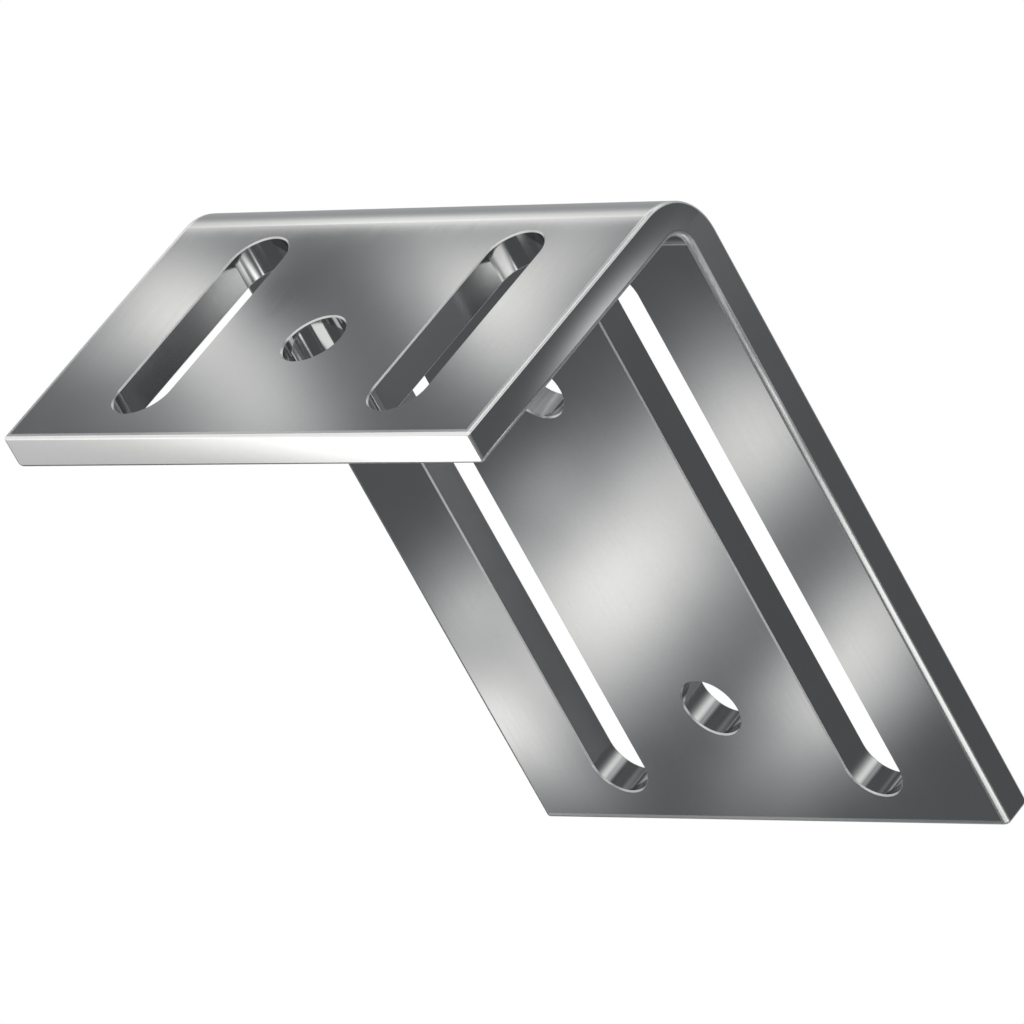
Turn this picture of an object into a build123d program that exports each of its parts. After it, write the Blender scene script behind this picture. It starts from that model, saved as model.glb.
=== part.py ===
"""Adjustable angle bracket: one piece of flat bar, punched with slots and round holes and folded square.

The short leg lies flat on top and carries what is fastened. The long leg hangs from its far edge and is
bolted to a wall or a frame behind it. The origin is on the back of the long leg, midway between its two round
holes.
+X runs along the fold, +Y points into the wall and +Z points up. All sizes are in millimetres.
"""

from build123d import *
import os

# The flat bar, 3 1/8 in wide and 3/16 in thick
bar_width = 79.4
bar_thickness = 4.76

# The fold. The metal stretches on its outside, which adds to the radius there
inner_fold_radius = 3.0
fold_stretch = 1.0

# The rounding of the bar's edges, which is wider along the inside of the fold, and the chamfer of every rim
edge_rounding = 0.4
inner_edge_rounding = 0.8
rim_chamfer = 0.2

# The legs, 2 in and 4 in, from the outside of the fold to their free ends
short_leg_length = 50.8
long_leg_length = 101.6

# The slots, 11/32 in wide, run along each leg, and their outer ends stay 3/16 in inside its free end
slot_width = 8.73
slot_spacing = 43.6
short_slot_length = 34.9
long_slot_length = 85.7
slot_end_margin = 4.76

# The round holes on the bar's middle line: one near each free end, and one in the long leg near the fold
hole_diameter = 8.73
hole_end_margin = 19.05
fold_hole_drop = 30.2

# Heights of the top and of the hanging free end, above the middle of the long leg's two round holes
top_height = (fold_hole_drop + long_leg_length - hole_end_margin) / 2
free_end_height = top_height - long_leg_length

# Radius and centre of the fold's outside
outer_fold_radius = inner_fold_radius + bar_thickness + fold_stretch
fold_centre = (0, -outer_fold_radius, top_height - outer_fold_radius)

# Middles of the slots and places of the round holes
short_slot_y = -short_leg_length + slot_end_margin + short_slot_length / 2
long_slot_z = free_end_height + slot_end_margin + long_slot_length / 2
short_hole_y = -short_leg_length + hole_end_margin
fold_hole_z = top_height - fold_hole_drop
end_hole_z = free_end_height + hole_end_margin

# The upper face of the short leg, and the back of the long leg with its first direction along +X
top_face = Plane.XY.offset(top_height)
back_face = Plane(origin=(0, 0, 0), x_dir=(1, 0, 0), z_dir=(0, -1, 0))


def side_edges():
    """Edges of the bar's two sides: six along its inside, six along its outside and four at its ends."""
    sides = angle_bracket.faces().filter_by(Axis.X).sort_by(Axis.X)
    return (sides[0].edges() + sides[-1].edges()).sort_by_distance(fold_centre)


with BuildPart() as angle_bracket:
    # The folded section, closed between its outer and its inner line
    with BuildSketch(Plane.YZ):
        with BuildLine():
            outer_line = FilletPolyline(
                (-short_leg_length, top_height),
                (0, top_height),
                (0, free_end_height),
                radius=outer_fold_radius,
            )
            inner_line = FilletPolyline(
                (-short_leg_length, top_height - bar_thickness),
                (-bar_thickness, top_height - bar_thickness),
                (-bar_thickness, free_end_height),
                radius=inner_fold_radius,
            )
            Line(outer_line @ 0, inner_line @ 0)
            Line(outer_line @ 1, inner_line @ 1)
        make_face()
    extrude(amount=bar_width / 2, both=True)

    # Slots and the round hole of the short leg
    with BuildSketch(top_face):
        with Locations((0, short_slot_y)):
            with GridLocations(slot_spacing, 0, 2, 1):
                SlotOverall(short_slot_length, slot_width, rotation=90)
        with Locations((0, short_hole_y)):
            Circle(hole_diameter / 2)
    extrude(amount=-bar_thickness, mode=Mode.SUBTRACT)

    # Slots and the two round holes of the long leg
    with BuildSketch(back_face):
        with Locations((0, long_slot_z)):
            with GridLocations(slot_spacing, 0, 2, 1):
                SlotOverall(long_slot_length, slot_width, rotation=90)
        with Locations((0, fold_hole_z), (0, end_hole_z)):
            Circle(hole_diameter / 2)
    extrude(amount=bar_thickness, mode=Mode.SUBTRACT)

    # Rims of all openings, on both faces of each leg
    leg_faces = angle_bracket.faces().filter_by(GeomType.PLANE).sort_by(SortBy.AREA)[-4:]
    rims = ShapeList(edge for face in leg_faces for wire in face.inner_wires() for edge in wire.edges())
    chamfer(rims, length=rim_chamfer)

    # Edges of the bar's sides, first along its inside, and then along its outside together with the free ends
    fillet(side_edges()[:6], radius=inner_edge_rounding)
    short_end = angle_bracket.faces().sort_by(Axis.Y)[0]
    long_end = angle_bracket.faces().sort_by(Axis.Z)[0]
    fillet(side_edges()[6:12] + short_end.edges() + long_end.edges(), radius=edge_rounding)

angle_bracket.part.label = "angle_bracket"

os.makedirs("parts", exist_ok=True)
export_step(angle_bracket.part, "parts/angle_bracket.step")
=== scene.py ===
"""Adjustable angle bracket in plated steel, in a small photographic studio.

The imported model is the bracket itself, so this file gives it its finish and builds the studio around it: a
pale floor, a light tent with reflectors that only the metal sees, and the camera. Lengths are in metres, in
the model's frame. The tables of the reflectors are in millimetres from the bracket's outer corner.
"""

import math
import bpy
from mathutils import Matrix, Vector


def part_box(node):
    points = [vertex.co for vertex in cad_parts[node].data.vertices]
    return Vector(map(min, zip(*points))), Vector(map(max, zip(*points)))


bl_info = {
    "name": "Adjustable Angle Bracket",
    "version": (1, 0, 0),
    "blender": (4, 5, 0),
    "location": "3D View > Sidebar > Bracket",
    "description": "Plated steel finish and a small studio for an adjustable angle bracket",
    "category": "Object",
}

import bmesh
import bpy
from bpy.props import FloatProperty, FloatVectorProperty, PointerProperty
from mathutils import Matrix, Vector

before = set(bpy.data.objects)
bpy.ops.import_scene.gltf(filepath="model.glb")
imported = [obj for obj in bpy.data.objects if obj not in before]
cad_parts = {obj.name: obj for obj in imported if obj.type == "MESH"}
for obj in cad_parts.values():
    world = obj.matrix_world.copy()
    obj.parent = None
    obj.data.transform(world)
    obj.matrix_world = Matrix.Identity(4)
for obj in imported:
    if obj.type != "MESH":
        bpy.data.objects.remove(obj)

BRACKET = "angle_bracket"
MM = 0.001
X, Y, Z = Vector((1, 0, 0)), Vector((0, 1, 0)), Vector((0, 0, 1))

# The bracket's box, its outer corner along the fold, and the sizes of the bar that its material follows
LOW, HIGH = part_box(BRACKET)
CORNER = Vector((0.0, HIGH.y, HIGH.z))
BAR_THICKNESS = 4.76 * MM
FOLD_RADIUS = 8.76 * MM
EDGE_ROUNDING = 0.8 * MM
RIM_CHAMFER = 0.2 * MM

# What lies deeper than this below a flat face doesn't belong to the face
SKIN = 0.01 * MM


class BracketFinish(bpy.types.PropertyGroup):
    """Colours and textures of the plated steel"""

    light_steel: FloatVectorProperty(
        name="Light Steel",
        description="Colour of the plating where it is brightest",
        subtype="COLOR",
        size=3,
        min=0.0,
        max=1.0,
        default=(0.66, 0.665, 0.665),
    )
    dark_steel: FloatVectorProperty(
        name="Dark Steel",
        description="Colour of the plating in its duller clouds",
        subtype="COLOR",
        size=3,
        min=0.0,
        max=1.0,
        default=(0.565, 0.575, 0.58),
    )
    roughness: FloatProperty(
        name="Roughness",
        description="Softness of the reflections in the rolled faces",
        min=0.02,
        max=0.8,
        default=0.12,
    )
    edge_roughness: FloatProperty(
        name="Edge Roughness",
        description="Softness of the reflections in the rounded edges, the rims and the inside of the fold",
        min=0.02,
        max=0.8,
        default=0.3,
    )
    cloud_size: FloatProperty(
        name="Cloud Size",
        description="Width of the faint clouds in the plating",
        unit="LENGTH",
        min=0.002,
        max=0.05,
        default=0.014,
    )
    grain_size: FloatProperty(
        name="Grain Size",
        description="Width of the fine grain of the plating",
        unit="LENGTH",
        min=0.0001,
        max=0.002,
        default=0.0007,
    )
    grain_depth: FloatProperty(
        name="Grain Depth",
        description="Height of the fine grain of the plating",
        unit="LENGTH",
        min=0.0,
        max=0.0001,
        default=0.0000006,
    )


class BracketStudio(bpy.types.PropertyGroup):
    """Camera, floor and light tent"""

    azimuth: FloatProperty(
        name="Azimuth",
        description="Direction of the camera about the upright axis, from the front",
        subtype="ANGLE",
        default=math.radians(50.0857),
    )
    elevation: FloatProperty(
        name="Elevation",
        description="Height of the camera above the horizon",
        subtype="ANGLE",
        default=math.radians(27.7167),
    )
    roll: FloatProperty(
        name="Roll",
        description="Turn of the camera about its line of sight",
        subtype="ANGLE",
        default=math.radians(29.3254),
    )
    distance: FloatProperty(
        name="Distance",
        description="From the camera to the point that it aims at",
        unit="LENGTH",
        min=0.2,
        max=5.0,
        default=1.55365,
    )
    aim: FloatVectorProperty(
        name="Aim",
        description="Point of the bracket's space in the middle of the picture",
        subtype="XYZ",
        unit="LENGTH",
        size=3,
        default=(-0.00057, -0.01712, 0.01652),
    )
    lens: FloatProperty(
        name="Lens",
        description="Focal length on a sensor 36 mm wide",
        min=50.0,
        max=1000.0,
        default=434.62,
    )
    floor_drop: FloatProperty(
        name="Floor Drop",
        description="From the bracket's lowest point down to the floor",
        unit="LENGTH",
        min=0.0,
        max=5.0,
        default=1.6,
    )
    tent: FloatProperty(
        name="Tent",
        description="From the bracket's outer corner to the left and right walls of the light tent",
        unit="LENGTH",
        min=0.15,
        max=1.0,
        default=0.22,
    )


def studio():
    """The studio's settings."""
    return bpy.context.scene.bracket_studio


def towards_camera():
    """Direction from the bracket to the camera."""
    azimuth, elevation = studio().azimuth, studio().elevation
    level = math.cos(elevation)
    return Vector((math.sin(azimuth) * level, -math.cos(azimuth) * level, math.sin(elevation)))


def mirrored(normal):
    """Direction in which the camera sees a face with that normal reflect."""
    sight = towards_camera()
    return 2 * sight.dot(normal) * normal - sight


def from_corner(x=0.0, y=0.0, z=0.0):
    """The point at those millimetres from the bracket's outer corner."""
    return CORNER + Vector((x, y, z)) * MM


# Node helpers

def clear_material(name):
    """A new material with only its output node."""
    material = bpy.data.materials.new(name)
    material.use_nodes = True
    material.node_tree.nodes.clear()
    return material, material.node_tree.nodes.new("ShaderNodeOutputMaterial")


def plug(tree, socket, value):
    """Link a socket's value, or set it where the value is plain."""
    if isinstance(value, bpy.types.NodeSocket):
        tree.links.new(value, socket)
    else:
        socket.default_value = value


def maths(tree, operation, *values, clamp=False):
    """A Math node on sockets or numbers, and its result."""
    node = tree.nodes.new("ShaderNodeMath")
    node.operation = operation
    node.use_clamp = clamp
    for socket, value in zip(node.inputs, values):
        plug(tree, socket, value)
    return node.outputs[0]


def vector_maths(tree, operation, *values):
    """A Vector Math node on sockets or vectors, and its result."""
    node = tree.nodes.new("ShaderNodeVectorMath")
    node.operation = operation
    for socket, value in zip(node.inputs, values):
        plug(tree, socket, value)
    return node.outputs["Value" if operation == "DOT_PRODUCT" else "Vector"]


def blend(tree, factor, first, second):
    """A mix of two colours, and its result."""
    node = tree.nodes.new("ShaderNodeMix")
    node.data_type = "RGBA"
    node.inputs["A"].default_value = (*first, 1.0)
    node.inputs["B"].default_value = (*second, 1.0)
    tree.links.new(factor, node.inputs["Factor"])
    return node.outputs["Result"]


def smooth_step(tree, value, start, end):
    """0 below the start, 1 above the end, and smooth between them."""
    node = tree.nodes.new("ShaderNodeMapRange")
    node.interpolation_type = "SMOOTHSTEP"
    plug(tree, node.inputs["Value"], value)
    plug(tree, node.inputs["From Min"], start)
    plug(tree, node.inputs["From Max"], end)
    return node.outputs["Result"]


def coordinates(tree, vector):
    """The three numbers of a vector."""
    node = tree.nodes.new("ShaderNodeSeparateXYZ")
    tree.links.new(vector, node.inputs[0])
    return node.outputs["X"], node.outputs["Y"], node.outputs["Z"]


def noise(tree, vector, scale, detail, roughness=0.5):
    """A noise texture on the given coordinates."""
    node = tree.nodes.new("ShaderNodeTexNoise")
    node.inputs["Scale"].default_value = scale
    node.inputs["Detail"].default_value = detail
    node.inputs["Roughness"].default_value = roughness
    tree.links.new(vector, node.inputs["Vector"])
    return node


def new_group(name, inputs):
    """A shader node group with named inputs and a mask as its output, and its input and output nodes."""
    tree = bpy.data.node_groups.new(name, "ShaderNodeTree")
    for socket_name, kind, default in inputs:
        socket = tree.interface.new_socket(name=socket_name, in_out="INPUT", socket_type=kind)
        if default is not None:
            socket.default_value = default
    tree.interface.new_socket(name="Mask", in_out="OUTPUT", socket_type="NodeSocketFloat")
    return tree, tree.nodes.new("NodeGroupInput"), tree.nodes.new("NodeGroupOutput")


def soft_patch_group():
    """Soft oval patch on a reflector: 1 in its middle and fading to 0 outside."""
    name = "Soft Patch"
    if name in bpy.data.node_groups:
        return bpy.data.node_groups[name]
    tree, inside, outside = new_group(
        name,
        (
            ("Vector", "NodeSocketVector", None),
            ("Middle", "NodeSocketVector", (0.0, 0.0, 0.0)),
            ("Half Size", "NodeSocketVector", (0.01, 0.01, 1.0)),
            ("Turn", "NodeSocketFloat", 0.0),
        ),
    )
    turn = tree.nodes.new("ShaderNodeVectorRotate")
    turn.rotation_type = "Z_AXIS"
    turn.invert = True
    shifted = vector_maths(tree, "SUBTRACT", inside.outputs["Vector"], inside.outputs["Middle"])
    tree.links.new(shifted, turn.inputs["Vector"])
    tree.links.new(inside.outputs["Turn"], turn.inputs["Angle"])
    ratio = vector_maths(tree, "DIVIDE", turn.outputs[0], inside.outputs["Half Size"])
    square = vector_maths(tree, "DOT_PRODUCT", ratio, ratio)
    fade = maths(tree, "EXPONENT", maths(tree, "MULTIPLY", square, -1.0))
    tree.links.new(fade, outside.inputs["Mask"])
    return tree


def soft_border_group():
    """Soft border of a reflector: 0 on its outline and 1 further inside than the fade."""
    name = "Soft Border"
    if name in bpy.data.node_groups:
        return bpy.data.node_groups[name]
    tree, inside, outside = new_group(
        name,
        (
            ("Vector", "NodeSocketVector", None),
            ("Low", "NodeSocketVector", (0.0, 0.0, 0.0)),
            ("High", "NodeSocketVector", (0.0, 0.0, 0.0)),
            ("Fade", "NodeSocketFloat", 0.001),
        ),
    )
    above = vector_maths(tree, "SUBTRACT", inside.outputs["Vector"], inside.outputs["Low"])
    below = vector_maths(tree, "SUBTRACT", inside.outputs["High"], inside.outputs["Vector"])
    x, y, _ = coordinates(tree, vector_maths(tree, "MINIMUM", above, below))
    nearest = maths(tree, "MINIMUM", x, y)
    mask = smooth_step(tree, nearest, 0.0, inside.outputs["Fade"])
    tree.links.new(mask, outside.inputs["Mask"])
    return tree


# Plated steel

# Share of the clouds in the colour, where the fine grain has the rest, and how much painted shade darkens the
# walls of the openings
CLOUD_SHARE = 0.6
WALL_PAINTED_SHADE = 0.25

# Painted highlight on the rounded edges of the outline, which also stands for polish from handling, and
# painted shade in the inside of the fold
EDGE_POLISH_AND_HIGHLIGHT = 0.4
HOLLOW_PAINTED_SHADE = 0.6

# How far the drawn lines and the clouds move the roughness, and how much smoother the openings' walls are
LINE_ROUGHNESS = 0.05
CLOUD_ROUGHNESS = 0.06
WALL_SMOOTHNESS = 0.03

# The drawn lines are finer than the grain, and this many times longer than they are wide
LINE_FINENESS = 1.6
LINE_STRETCH = 25.0


def within(tree, value, low, high):
    """1 between two values, and 0 elsewhere."""
    above = maths(tree, "GREATER_THAN", value, low)
    below = maths(tree, "LESS_THAN", value, high)
    return maths(tree, "MULTIPLY", above, below)


def bar_masks(tree, place):
    """Masks of the openings' walls and rims, of the bar's rounded edges and of the fold's inside."""
    x, y, z = coordinates(tree, place)

    # Distance from the bar's outline, which is 0 on its sides and free ends
    side = maths(tree, "SUBTRACT", HIGH.x, maths(tree, "ABSOLUTE", x))
    end = maths(tree, "MINIMUM", maths(tree, "SUBTRACT", y, LOW.y), maths(tree, "SUBTRACT", z, LOW.z))
    border = maths(tree, "MINIMUM", side, end)
    off_border = maths(tree, "GREATER_THAN", border, EDGE_ROUNDING)

    # Distance from the middle of the bar's thickness, on the flat legs only
    top = maths(tree, "SUBTRACT", HIGH.z, z)
    back = maths(tree, "SUBTRACT", HIGH.y, y)
    depth = maths(tree, "MINIMUM", top, back)
    middle = maths(tree, "ABSOLUTE", maths(tree, "SUBTRACT", depth, BAR_THICKNESS / 2))
    on_leg = maths(tree, "GREATER_THAN", maths(tree, "MAXIMUM", top, back), FOLD_RADIUS)
    inside = maths(tree, "MULTIPLY", on_leg, off_border)

    surface = BAR_THICKNESS / 2 - SKIN
    wall = BAR_THICKNESS / 2 - RIM_CHAMFER
    walls = maths(tree, "MULTIPLY", inside, maths(tree, "LESS_THAN", middle, wall))
    rims = maths(tree, "MULTIPLY", inside, within(tree, middle, wall, surface))
    sides = within(tree, border, SKIN, EDGE_ROUNDING)
    deep = maths(tree, "GREATER_THAN", depth, BAR_THICKNESS + 2 * SKIN)
    hollow = maths(tree, "MULTIPLY", deep, off_border)
    return walls, rims, sides, hollow


def steel_material(finish):
    """Plated steel: faint clouds, a fine grain drawn out along the bar, painted shade on the openings' walls
    and in the fold's inside, a painted highlight on the rounded edges, and satin edges.
    """
    material, output = clear_material("Plated Steel")
    tree = material.node_tree
    place = tree.nodes.new("ShaderNodeTexCoord").outputs["Object"]
    walls, rims, sides, hollow = bar_masks(tree, place)
    edges = maths(tree, "MAXIMUM", maths(tree, "MAXIMUM", rims, sides), hollow)
    clouds = noise(tree, place, 1.0 / finish.cloud_size, detail=4.0, roughness=0.55).outputs["Fac"]
    grain = noise(tree, place, 1.0 / finish.grain_size, detail=2.0, roughness=0.6).outputs["Fac"]

    # The bar was rolled along its length, so its finest lines run that way on both legs and round the fold
    drawn = vector_maths(tree, "MULTIPLY", place, (1.0, 1.0 / LINE_STRETCH, 1.0 / LINE_STRETCH))
    lines = noise(tree, drawn, LINE_FINENESS / finish.grain_size, detail=3.0, roughness=0.6).outputs["Fac"]

    fine = maths(tree, "MULTIPLY", grain, 1.0 - CLOUD_SHARE)
    mottle = maths(tree, "MULTIPLY_ADD", clouds, CLOUD_SHARE, fine)
    # Painted shade: the walls of the openings are darkened in the colour
    shade = maths(tree, "MULTIPLY_ADD", walls, -WALL_PAINTED_SHADE, mottle, clamp=True)
    plating = blend(tree, shade, finish.dark_steel, finish.light_steel)
    # Painted shade: the colour darkens in the inside of the fold
    fold_shade_factor = maths(tree, "MULTIPLY_ADD", hollow, -HOLLOW_PAINTED_SHADE, 1.0)
    # Painted highlight: the rounded edges of the outline are brightened in the colour, which also stands for
    # polish from handling
    painted_light_and_polish = maths(tree, "MULTIPLY_ADD", sides, EDGE_POLISH_AND_HIGHLIGHT, fold_shade_factor)
    colour = vector_maths(tree, "MULTIPLY", plating, painted_light_and_polish)

    # The lines and clouds add to a base that leaves the faces' mean roughness as the finish says
    base = finish.roughness - (LINE_ROUGHNESS + CLOUD_ROUGHNESS) / 2
    cloudy = maths(tree, "MULTIPLY", clouds, CLOUD_ROUGHNESS)
    rolled = maths(tree, "MULTIPLY_ADD", lines, LINE_ROUGHNESS, cloudy)
    rough = maths(tree, "MULTIPLY_ADD", walls, -WALL_SMOOTHNESS, maths(tree, "ADD", rolled, base))
    rough = maths(tree, "MULTIPLY_ADD", edges, finish.edge_roughness - finish.roughness, rough)

    bump = tree.nodes.new("ShaderNodeBump")
    bump.inputs["Strength"].default_value = 1.0
    bump.inputs["Distance"].default_value = finish.grain_depth
    tree.links.new(maths(tree, "ADD", grain, lines), bump.inputs["Height"])

    steel = tree.nodes.new("ShaderNodeBsdfPrincipled")
    steel.inputs["Metallic"].default_value = 1.0
    tree.links.new(colour, steel.inputs["Base Color"])
    tree.links.new(rough, steel.inputs["Roughness"])
    tree.links.new(bump.outputs["Normal"], steel.inputs["Normal"])
    tree.links.new(steel.outputs["BSDF"], output.inputs["Surface"])
    return material


class OBJECT_OT_bracket_finish(bpy.types.Operator):
    """Give the bracket its plated steel"""

    bl_idname = "object.bracket_finish"
    bl_label = "Finish the Bracket"

    def execute(self, context):
        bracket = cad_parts[BRACKET]
        bracket.material_slots[0].material = steel_material(context.scene.bracket_finish)
        return {"FINISHED"}


# Reflectors

# Tints of their dim and of their bright light, and the level below which no soft patch dims it
COOL = (0.945, 0.985, 1.02)
WARM = (1.0, 0.985, 0.965)
DIMMEST = 0.1

# Scale of the noise that makes patches uneven
WOBBLE_SCALE = 55.0


def reflector(name, origin, across, upwards, low, high, level, patches=(), fade=1, wobble=0):
    """A card that only reflections see. Its own X and Y run across and upwards from its origin, and low and
    high are its corners there. Its light is the level, or a gradient as (height, level, height, level), plus
    soft patches as (middle x, middle y, half length, half width, degrees, level). Its outline fades over the
    width of the fade, and the wobble is how far the patches are bent. The numbers are in millimetres."""
    mesh = bpy.data.meshes.new(name)
    card = bpy.data.objects.new(name, mesh)
    bpy.context.scene.collection.objects.link(card)
    low, high = Vector((*low, 0.0)) * MM, Vector((*high, 0.0)) * MM
    shape = bmesh.new()
    bmesh.ops.create_grid(shape, x_segments=1, y_segments=1, size=0.5)
    bmesh.ops.scale(shape, verts=shape.verts, vec=(high.x - low.x, high.y - low.y, 1.0))
    bmesh.ops.translate(shape, verts=shape.verts, vec=(low + high) / 2)
    shape.to_mesh(mesh)
    shape.free()
    turn = Matrix((across, upwards, across.cross(upwards))).transposed()
    card.matrix_world = Matrix.Translation(origin) @ turn.to_4x4()
    for kind in ("camera", "diffuse", "transmission", "volume_scatter", "shadow"):
        setattr(card, "visible_" + kind, False)
    mesh.materials.append(reflector_material(name, low, high, level, patches, fade, wobble))


def reflector_material(name, low, high, level, patches, fade, wobble):
    """Light of a reflector: cool where it is dim and warm where it is bright."""
    material, output = clear_material(name)
    tree = material.node_tree
    place = tree.nodes.new("ShaderNodeTexCoord").outputs["Object"]

    if isinstance(level, tuple):
        low_height, low_level, high_height, high_level = level
        height = coordinates(tree, place)[1]
        rise = smooth_step(tree, height, low_height * MM, high_height * MM)
        level = maths(tree, "MULTIPLY_ADD", rise, high_level - low_level, low_level)
    bent = place
    if wobble:
        uneven = noise(tree, place, WOBBLE_SCALE, detail=3.0).outputs["Color"]
        offset = vector_maths(tree, "SUBTRACT", uneven, (0.5, 0.5, 0.5))
        bent = vector_maths(tree, "MULTIPLY_ADD", offset, (wobble * MM, wobble * MM, 0.0), place)
    for x, y, half_length, half_width, degrees, strength in patches:
        patch = tree.nodes.new("ShaderNodeGroup")
        patch.node_tree = soft_patch_group()
        patch.inputs["Middle"].default_value = (x * MM, y * MM, 0.0)
        patch.inputs["Half Size"].default_value = (half_length * MM, half_width * MM, 1.0)
        patch.inputs["Turn"].default_value = math.radians(degrees)
        tree.links.new(bent, patch.inputs["Vector"])
        level = maths(tree, "MULTIPLY_ADD", patch.outputs["Mask"], strength, level)

    border = tree.nodes.new("ShaderNodeGroup")
    border.node_tree = soft_border_group()
    border.inputs["Low"].default_value = low
    border.inputs["High"].default_value = high
    border.inputs["Fade"].default_value = fade * MM
    tree.links.new(place, border.inputs["Vector"])

    # A black surface that glows, and is clear where its border fades
    glow = tree.nodes.new("ShaderNodeBsdfPrincipled")
    glow.inputs["Base Color"].default_value = (0.0, 0.0, 0.0, 1.0)
    glow.inputs["Specular IOR Level"].default_value = 0.0
    if isinstance(level, bpy.types.NodeSocket):
        tint = blend(tree, level, COOL, WARM)
        light = vector_maths(tree, "MULTIPLY", tint, maths(tree, "MAXIMUM", level, DIMMEST))
        tree.links.new(light, glow.inputs["Emission Color"])
        glow.inputs["Emission Strength"].default_value = 1.0
    else:
        glow.inputs["Emission Color"].default_value = (*WARM, 1.0)
        glow.inputs["Emission Strength"].default_value = level
    tree.links.new(border.outputs["Mask"], glow.inputs["Alpha"])
    tree.links.new(glow.outputs["BSDF"], output.inputs["Surface"])
    return material


def face_reflector(name, point, across, upwards, reach, *light, **options):
    """A reflector for one flat face. It stands parallel to the face, in front of it by its reach in
    millimetres and where the camera sees the face reflect, so its own coordinates are those of the face."""
    normal = across.cross(upwards)
    sight = mirrored(normal)
    origin = point + sight * (reach * MM / sight.dot(normal))
    reflector(name, origin, across, upwards, *light, **options)


def build_face_reflectors():
    """The cards that shape the reflections in the flat faces which the camera sees."""
    # Top of the short leg, with x along the fold and y towards the wall. The last patch lies beside the leg
    face_reflector(
        "Top Reflector", CORNER, X, Y, 50, (-72, -82), (72, -2), 0.175,
        (
            (-11, -38, 33, 9, -37, 0.68),
            (-33, -25, 9, 11, 0, 0.75),
            (-45, -18, 7, 13, 0, 0.6),
            (24, -24, 28, 8, -33, 0.8),
            (28, -14, 12, 10, 0, 0.65),
            (-20, -20, 7, 5, 0, -0.25),
            (-24, -47, 9, 6, 0, 0.1),
            (62, -3, 16, 10, 0, 0.28),
        ),
        fade=2, wobble=8,
    )
    # Inner face of the long leg, seen from the front, with y upwards
    face_reflector(
        "Long Leg Reflector", CORNER - Y * BAR_THICKNESS, X, Z, 60, (-72, -132), (72, 10), 0.12,
        (
            (-4, -63, 34, 11.5, 36, 1.2),
            (38, -35.5, 17, 10, 36, 0.82),
            (-41, -88, 9.5, 11.5, 36, 1.15),
            (-31, -101, 9, 6, 0, 0.15),
            (31, -76.5, 30, 8, 38, 1.0),
            (-34, -66, 12, 6, 36, 0.55),
            (-8, -46, 12, 5, 36, 0.2),
        ),
        fade=8, wobble=8,
    )
    # Free end of the short leg
    face_reflector(
        "Short End Reflector", Vector((0, LOW.y, HIGH.z)), X, Z, 12, (-46, -6.2), (46, 8), 0.8,
        ((45, -4, 90, 5, -8, 1.4),),
        fade=0.8,
    )
    # Right side of the short leg, with x towards the wall
    face_reflector(
        "Short Side Reflector", Vector((HIGH.x, 0, HIGH.z)), Y, Z, 6, (-60, -5.6), (10, 3), 0.12,
        ((-23, -5.2, 11.5, 2.5, 0, 0.9),),
        fade=0.5,
    )


def build_small_reflectors():
    """The cards for the fold, the long leg's edge, the rims and the walls of the openings."""
    # Close behind the fold, which brightens towards the short leg
    reflector(
        "Fold Reflector", from_corner(y=10), X, Z, (-110, -12), (80, 14.8), (1, 0.42, 14, 1.12),
        ((-17, 15, 34, 6.5, 0, 0.5),),
        fade=0.4,
    )
    # To the right of the bracket, for the inner ends of the short leg's slots, which see it past the long leg
    # or once more reflected in it, and for the thin line in the round hole
    beside = from_corner(x=HIGH.x / MM + 25)
    reflector(
        "Slot Reflector", beside, Y, Z, (-92, -74), (-3, -29), 0.1,
        (
            (-37, -33, 3.3, 2.3, 0, 3.4),
            (-20.5, -31.5, 3.5, 2.2, 0, 2.2),
            (-71, -60.5, 7.5, 4.6, 0, 2.6),
            (-27, -49.4, 17, 2.8, 10, 2.3),
            (-37, -38.5, 3, 2, 0, 0.6),
            (-32, -64, 3, 4, 0, 1.0),
        ),
    )
    # For the edge of the long leg
    reflector("Edge Reflector", beside, Y, Z, (-40, -124), (-6, -58), 1.15, fade=3)
    # In front, for the round hole of the short leg
    reflector("Hole Reflector", from_corner(y=-75), X, Z, (-3, -32.5), (32, -21), 1.15, fade=2)
    # In front and below, for the rims of the long leg
    reflector("Rim Reflector", from_corner(y=-120), X, Z, (50, -185), (122, -104), 1.1, fade=4)


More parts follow.
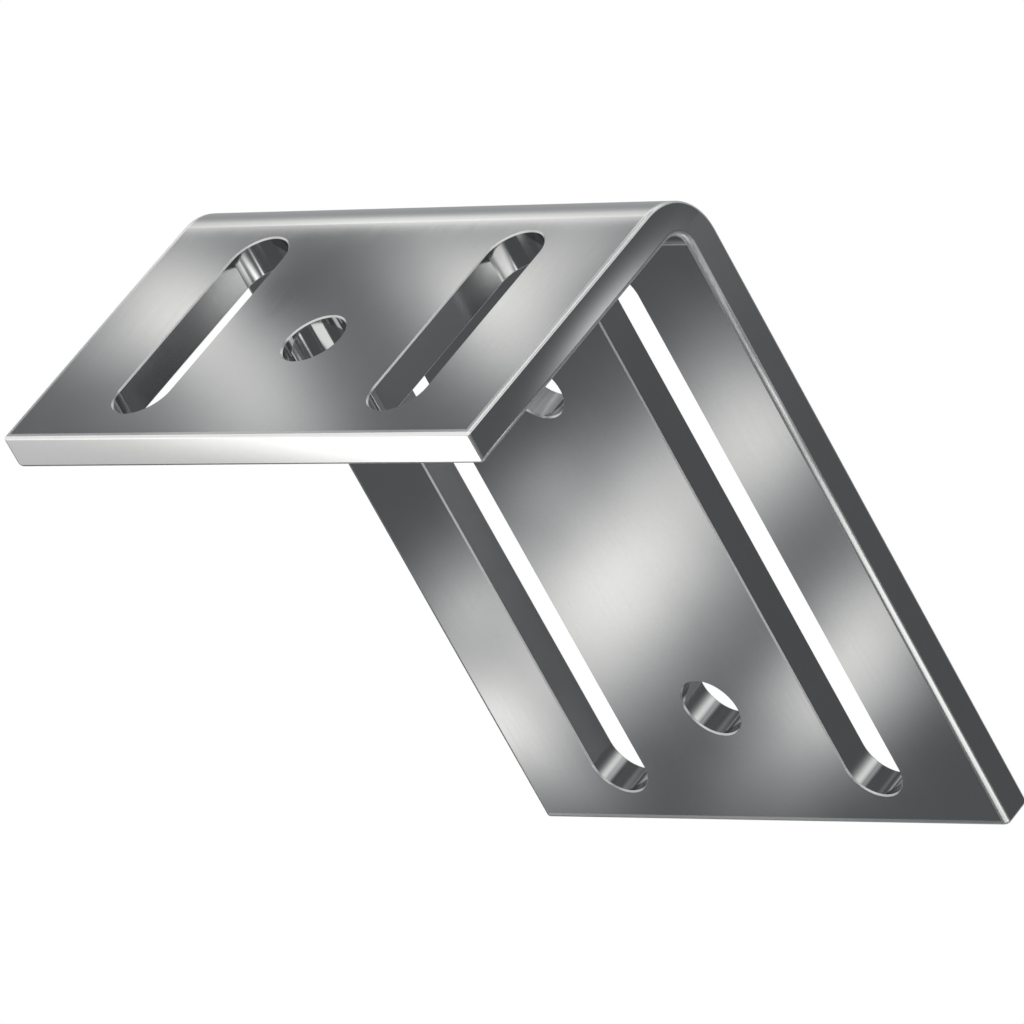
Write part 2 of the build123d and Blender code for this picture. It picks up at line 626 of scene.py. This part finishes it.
def build_tent():
    """The light tent: walls that darken downwards, a pale ceiling and a dim card below. The rounded edges,
    the rims and the openings see most of it."""
    side = studio().tent / MM
    front, back, bottom, top = -250, 200, -300, 300

    # Here the right wall's back part begins, which gives the lower ends of the long leg's openings one band
    seam = 100
    reflector(
        "Right Wall", from_corner(x=side), Y, Z, (front, bottom), (seam, top), (-80, 0.12, 0, 1.0),
        ((-18, -109, 90, 9.5, 0, 1.35),),
    )
    reflector(
        "Right Back Wall", from_corner(x=side), Y, Z, (seam - 1, bottom), (back, top), 0.11,
        ((160, 4, 90, 82, 0, 0.95),),
    )
    reflector(
        "Front Wall", from_corner(y=front), X, Z, (-side, bottom), (side, top), (-90, 0.1, -50, 1.0),
    )
    reflector(
        "Left Wall", from_corner(x=-side), Y, Z, (front, bottom), (back, top), (-140, 0.12, 40, 1.0),
        (
            (-180, 185, 90, 80, 0, -0.3),
            (-20, -30, 90, 16, 30, 0.5),
            (90, -90, 60, 14, 30, 0.5),
            (185, 70, 70, 110, 0, -1.0),
        ),
        wobble=30,
    )
    reflector(
        "Back Wall", from_corner(y=back), X, Z, (-side, bottom), (side, top), (-160, 0.2, 20, 0.7),
        (
            (-165, 130, 90, 60, 0, -0.6),
            (-10, 205, 130, 60, 0, -0.62),
            (140, 165, 100, 58, 0, -0.6),
            (160, 300, 100, 45, 0, 2.0),
            (200, -270, 60, 60, 0, -0.12),
            (-30, -80, 150, 20, 35, 0.8),
            (20, -230, 80, 16, 35, 0.6),
            (95, 258, 60, 28, 0, -0.4),
            (-90, 245, 50, 25, 0, 0.3),
        ),
        wobble=30,
    )
    reflector(
        "Ceiling", from_corner(z=top), X, Y, (-side, front), (side, back), 1.05,
        ((-60, -20, 150, 25, 35, -0.5),),
        wobble=30,
    )
    reflector(
        "Under Reflector", from_corner(z=bottom), X, Y, (-side, front), (side, back), 0.2,
        (
            (0, -20, 150, 25, 35, 0.5),
            (-150, -220, 60, 60, 0, 1.0),
        ),
        wobble=30,
    )


# Studio

FLOOR_RADIUS = 30.0
SENSOR_WIDTH = 36.0


def build_world():
    """Plain white surroundings."""
    world = bpy.data.worlds.new("Studio")
    bpy.context.scene.world = world
    world.use_nodes = True
    world.node_tree.nodes["Background"].inputs["Color"].default_value = (1, 1, 1, 1)


def build_floor():
    """A wide pale floor, as bright as what is behind it, and so far down that the bracket is seen from below
    too. The metal sees the light tent in its place."""
    mesh = bpy.data.meshes.new("Floor")
    floor = bpy.data.objects.new("Floor", mesh)
    bpy.context.scene.collection.objects.link(floor)
    shape = bmesh.new()
    bmesh.ops.create_circle(shape, cap_ends=True, segments=64, radius=FLOOR_RADIUS)
    bmesh.ops.translate(shape, verts=shape.verts, vec=(0, 0, LOW.z - studio().floor_drop))
    shape.to_mesh(mesh)
    shape.free()
    material, output = clear_material("Pale Floor")
    white = material.node_tree.nodes.new("ShaderNodeEmission")
    material.node_tree.links.new(white.outputs[0], output.inputs["Surface"])
    mesh.materials.append(material)
    floor.visible_glossy = False


def build_camera():
    """The camera, at the photograph's angle."""
    settings = studio()
    data = bpy.data.cameras.new("Camera")
    data.sensor_width = SENSOR_WIDTH
    data.lens = settings.lens
    camera = bpy.data.objects.new("Camera", data)
    bpy.context.scene.collection.objects.link(camera)
    back = towards_camera()
    camera.location = Vector(settings.aim) + back * settings.distance
    upright = back.to_track_quat("Z", "Y").to_matrix()
    turn = Matrix.Rotation(-settings.roll, 3, back) @ upright
    camera.rotation_mode = "QUATERNION"
    camera.rotation_quaternion = turn.to_quaternion()
    bpy.context.scene.camera = camera


class OBJECT_OT_bracket_studio(bpy.types.Operator):
    """Build the floor, the light tent, the reflectors and the camera"""

    bl_idname = "object.bracket_studio"
    bl_label = "Build the Studio"

    def execute(self, context):
        context.scene.view_settings.view_transform = "Standard"
        build_world()
        build_floor()
        build_tent()
        build_face_reflectors()
        build_small_reflectors()
        build_camera()
        return {"FINISHED"}


class VIEW3D_PT_bracket(bpy.types.Panel):
    """Sizes, colours and steps of the bracket's scene"""

    bl_label = "Adjustable Angle Bracket"
    bl_idname = "VIEW3D_PT_bracket"
    bl_space_type = "VIEW_3D"
    bl_region_type = "UI"
    bl_category = "Bracket"

    def draw(self, context):
        layout = self.layout
        for settings, operator in (
            (context.scene.bracket_finish, OBJECT_OT_bracket_finish),
            (context.scene.bracket_studio, OBJECT_OT_bracket_studio),
        ):
            box = layout.box()
            for name in settings.__annotations__:
                box.prop(settings, name)
            box.operator(operator.bl_idname)


CLASSES = (
    BracketFinish,
    BracketStudio,
    OBJECT_OT_bracket_finish,
    OBJECT_OT_bracket_studio,
    VIEW3D_PT_bracket,
)


def register():
    for cls in CLASSES:
        bpy.utils.register_class(cls)
    bpy.types.Scene.bracket_finish = PointerProperty(type=BracketFinish)
    bpy.types.Scene.bracket_studio = PointerProperty(type=BracketStudio)


def unregister():
    del bpy.types.Scene.bracket_studio
    del bpy.types.Scene.bracket_finish
    for cls in reversed(CLASSES):
        bpy.utils.unregister_class(cls)


def main():
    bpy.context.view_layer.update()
    register()
    bpy.ops.object.bracket_finish()
    bpy.ops.object.bracket_studio()


if __name__ == "__main__":
    main()
